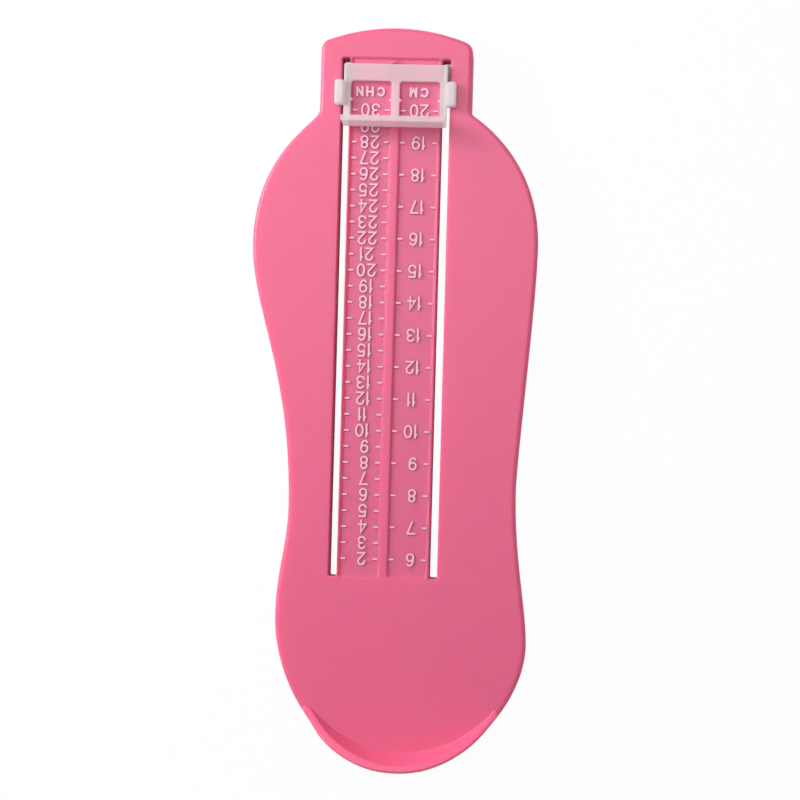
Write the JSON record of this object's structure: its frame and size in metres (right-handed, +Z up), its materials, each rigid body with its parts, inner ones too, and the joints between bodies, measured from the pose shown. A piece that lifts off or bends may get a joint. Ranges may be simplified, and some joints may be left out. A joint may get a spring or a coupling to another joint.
{
  "type": "foot measuring device",
  "caption": "Foot-shaped measuring plate with a raised heel stop, sunk length scales and a sliding toe stop that reads foot length and shoe size.",
  "frame": {"origin": "middle of the footprint's bounding box, on the table under the plate", "axes": "+Y along the foot from heel to toes, +X to the right seen from above with the toes up, +Z up out of the plate"},
  "size_m": [0.0892, 0.2308, 0.0208],
  "materials": {
    "pink_abs": "satin pink ABS moulding with pale printed tops on its raised numerals",
    "milky_polypropylene": "smooth natural polypropylene, milky and translucent"
  },
  "bodies": {
    "foot_plate": {"foot_plate": "pink_abs"},
    "toe_slider": {"toe_slider": "milky_polypropylene"}
  },
  "joints": [
    {"name": "toe_slide", "type": "slide", "parent": "foot_plate", "child": "toe_slider", "axis": [0, 1, 0], "range_m": [-0.1482, 0.0005]}
  ]
}
